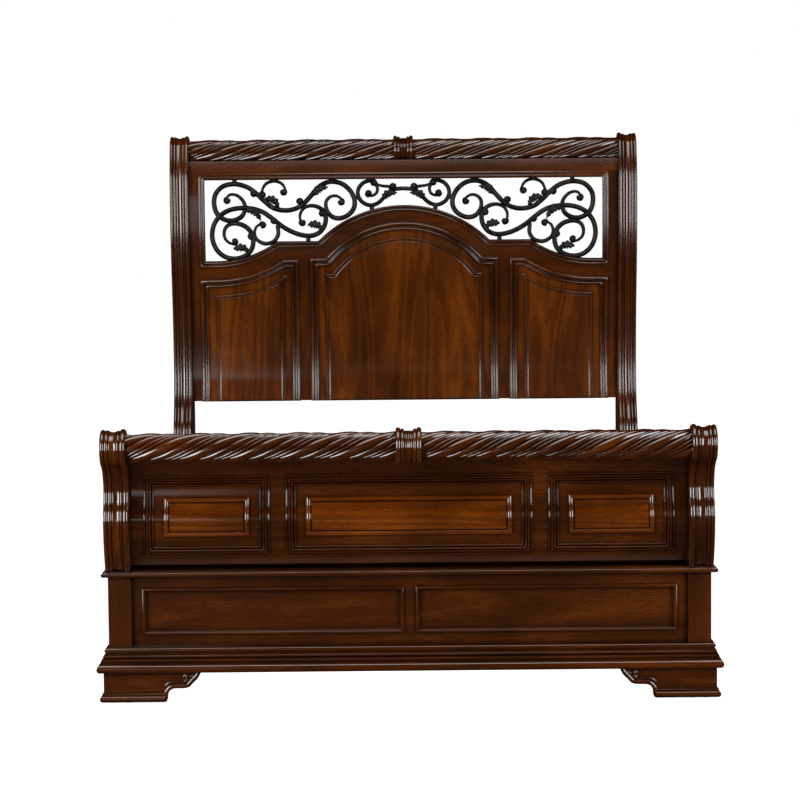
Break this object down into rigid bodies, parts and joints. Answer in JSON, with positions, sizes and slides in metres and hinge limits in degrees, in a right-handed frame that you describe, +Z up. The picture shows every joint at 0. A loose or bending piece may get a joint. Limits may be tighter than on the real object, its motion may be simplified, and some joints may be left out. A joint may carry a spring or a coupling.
{
  "type": "sleigh bed",
  "caption": "Queen-size sleigh bed with S-curved posts, rope-carved rolls, raised panels, an iron scroll grille in the headboard, hooked side rails, slats and adjustable centre legs.",
  "frame": {"origin": "on the floor under the middle of the bed's overall box", "axes": "+Y from the footboard to the headboard, +Z up, X across the bed"},
  "size_m": [1.792, 2.491, 1.6799],
  "materials": {
    "cherry_frame": "dark cherry stain under satin-gloss lacquer, darker glaze in the grooves",
    "cherry_panel": "dark cherry veneer with burnished lighter middle under satin-gloss lacquer",
    "plain_hardwood": "planed hardwood with a thin clear seal",
    "wrought_iron": "dark bronze paint rubbed back on the ridges",
    "zinc_steel": "zinc-plated steel",
    "glide_plastic": "black moulded nylon"
  },
  "bodies": {
    "bed": {"head_post_left": "cherry_frame", "head_post_right": "cherry_frame", "head_rope_left": "cherry_frame", "head_rope_right": "cherry_frame", "head_rope_collar": "cherry_frame", "head_top_rail": "cherry_frame", "head_stile_left": "cherry_frame", "head_stile_right": "cherry_frame", "head_arch_rail": "cherry_frame", "head_mullion_left": "cherry_frame", "head_mullion_right": "cherry_frame", "head_moulding_left": "cherry_frame", "head_moulding_centre": "cherry_frame", "head_moulding_right": "cherry_frame", "grille_trim": "cherry_frame", "head_back_batten": "cherry_frame", "head_stretcher": "cherry_frame", "foot_post_upper_left": "cherry_frame", "foot_post_upper_right": "cherry_frame", "foot_post_lower_left": "cherry_frame", "foot_post_lower_right": "cherry_frame", "foot_rope_left": "cherry_frame", "foot_rope_right": "cherry_frame", "foot_rope_collar": "cherry_frame", "foot_upper_board": "cherry_frame", "foot_upper_moulding_left": "cherry_frame", "foot_upper_moulding_centre": "cherry_frame", "foot_upper_moulding_right": "cherry_frame", "foot_waist_ledge": "cherry_frame", "foot_lower_board": "cherry_frame", "foot_lower_moulding_left": "cherry_frame", "foot_lower_moulding_right": "cherry_frame", "foot_bottom_rail": "cherry_frame", "foot_base_moulding": "cherry_frame", "foot_bracket_left": "cherry_frame", "foot_bracket_right": "cherry_frame", "side_rail_left": "cherry_frame", "side_rail_right": "cherry_frame", "head_panel_left": "cherry_panel", "head_panel_centre": "cherry_panel", "head_panel_right": "cherry_panel", "foot_field_left": "cherry_panel", "foot_field_centre": "cherry_panel", "foot_field_right": "cherry_panel", "slat_1": "plain_hardwood", "slat_2": "plain_hardwood", "slat_3": "plain_hardwood", "centre_leg_1": "plain_hardwood", "centre_leg_2": "plain_hardwood", "centre_leg_3": "plain_hardwood", "rail_cleat_left": "plain_hardwood", "rail_cleat_right": "plain_hardwood", "iron_grille": "wrought_iron", "rail_hooks": "zinc_steel", "strike_plates": "zinc_steel", "slat_screws": "zinc_steel", "floor_glides": "glide_plastic"},
    "leveller_one": {"leveller_1": "zinc_steel"},
    "leveller_two": {"leveller_2": "zinc_steel"},
    "leveller_three": {"leveller_3": "zinc_steel"}
  },
  "joints": [
    {"name": "leveller_one_travel", "type": "slide", "parent": "bed", "child": "leveller_one", "axis": [0, 0, 1], "range_m": [-0.01, 0.012]},
    {"name": "leveller_two_travel", "type": "slide", "parent": "bed", "child": "leveller_two", "axis": [0, 0, 1], "range_m": [-0.01, 0.012]},
    {"name": "leveller_three_travel", "type": "slide", "parent": "bed", "child": "leveller_three", "axis": [0, 0, 1], "range_m": [-0.01, 0.012]}
  ]
}
